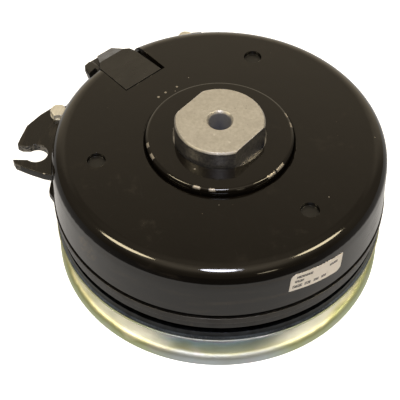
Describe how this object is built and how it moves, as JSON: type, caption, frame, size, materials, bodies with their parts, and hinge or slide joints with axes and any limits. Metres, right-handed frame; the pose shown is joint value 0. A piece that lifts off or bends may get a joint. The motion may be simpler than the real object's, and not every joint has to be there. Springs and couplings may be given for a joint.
{
  "type": "electromagnetic clutch",
  "caption": "Electric clutch and brake with a round black field shell, keyed central hub, slotted torque bracket, side connector and a zinc-plated V-belt pulley under it.",
  "frame": {"origin": "centre of the mouth of the keyed shaft bore, in the plane of the hub's pulley end", "axes": "+Z along the shaft, from the pulley end towards the bolt end of the hub; the torque bracket's fork points to -X and the keyway to +X"},
  "size_m": [0.1989, 0.1886, 0.0914],
  "materials": {
    "black_paint": "gloss black paint with light wear",
    "black_paint_bracket": "black paint over a stamped plate",
    "black_paint_pole": "gloss black paint, chipped on the rim",
    "black_paint_plate": "thin black paint over rough plate",
    "yellow_zinc": "yellow chromate zinc plating",
    "bolt_zinc": "yellowish zinc plating",
    "clear_zinc": "clear zinc plating",
    "rivet_steel": "plated steel",
    "phosphated_steel": "dark phosphate",
    "rotor_steel": "dark oxide, turned rim",
    "machined_hub": "machined and lightly oiled",
    "machined_steel": "machined",
    "spring_steel": "blued spring steel",
    "bearing_steel": "ground bearing steel",
    "bearing_ball": "polished",
    "cage_steel": "pressed steel",
    "seal_rubber": "moulded nitrile rubber",
    "copper_wire": "enamelled copper wire",
    "lead_insulation": "lead insulation",
    "bobbin_nylon": "moulded nylon",
    "potting_resin": "cast resin",
    "connector_nylon": "moulded nylon",
    "terminal_brass": "tinned brass",
    "magnet_ceramic": "sintered ferrite magnet",
    "friction_lining": "moulded friction material",
    "label_film": "plain printed film, no wording"
  },
  "bodies": {
    "field": {"field_shell": "black_paint", "inner_pole": "black_paint_pole", "coil_bobbin": "bobbin_nylon", "coil_winding": "copper_wire", "coil_potting": "potting_resin", "coil_leads": "lead_insulation", "connector_housing": "connector_nylon", "connector_terminals": "terminal_brass", "torque_bracket": "black_paint_bracket", "bracket_welds": "black_paint_bracket", "brake_bolts": "bolt_zinc", "brake_spacers": "clear_zinc", "brake_shims": "clear_zinc", "brake_pole": "phosphated_steel", "brake_magnet": "magnet_ceramic", "rating_label": "label_film", "field_bearing_outer_race": "bearing_steel", "field_bearing_seals": "seal_rubber", "field_bearing_snap_ring": "spring_steel"},
    "field_cage": {"field_bearing_balls": "bearing_ball", "field_bearing_cage": "cage_steel"},
    "rotor": {"rotor_hub": "machined_hub", "rotor_disc": "rotor_steel", "friction_lining": "friction_lining", "field_bearing_inner_race": "bearing_steel", "pulley_bearing_inner_race": "bearing_steel", "bearing_spacer": "machined_steel", "hub_snap_ring": "spring_steel"},
    "pulley": {"pulley_lower_half": "yellow_zinc", "pulley_upper_half": "yellow_zinc", "pulley_hub": "machined_steel", "drive_plate": "black_paint_plate", "pulley_rivets": "rivet_steel", "pulley_bearing_outer_race": "bearing_steel", "pulley_bearing_seals": "seal_rubber", "pulley_bearing_snap_ring": "spring_steel", "leaf_springs": "spring_steel", "drive_side_rivets": "rivet_steel"},
    "pulley_cage": {"pulley_bearing_balls": "bearing_ball", "pulley_bearing_cage": "cage_steel"},
    "armature": {"armature_plate": "phosphated_steel", "armature_side_rivets": "rivet_steel"}
  },
  "joints": [
    {"name": "rotor_spin", "type": "hinge", "parent": "field", "child": "rotor", "pos_m": [0, 0, 0], "axis": [0, 0, 1], "continuous": true},
    {"name": "field_cage_spin", "type": "hinge", "parent": "field", "child": "field_cage", "pos_m": [0, 0, 0], "axis": [0, 0, 1], "continuous": true},
    {"name": "pulley_spin", "type": "hinge", "parent": "rotor", "child": "pulley", "pos_m": [0, 0, 0], "axis": [0, 0, 1], "continuous": true},
    {"name": "pulley_cage_spin", "type": "hinge", "parent": "rotor", "child": "pulley_cage", "pos_m": [0, 0, 0], "axis": [0, 0, 1], "continuous": true},
    {"name": "armature_slide", "type": "slide", "parent": "pulley", "child": "armature", "axis": [0, 0, 1], "range_m": [0, 0.00048], "stiffness_N_per_m": 20000, "deforming": ["leaf_springs"]}
  ],
  "couplings": [
    {"joint": "field_cage_spin", "follows": "rotor_spin", "ratio": 0.4265},
    {"joint": "pulley_cage_spin", "follows": "pulley_spin", "ratio": 0.5735}
  ]
}
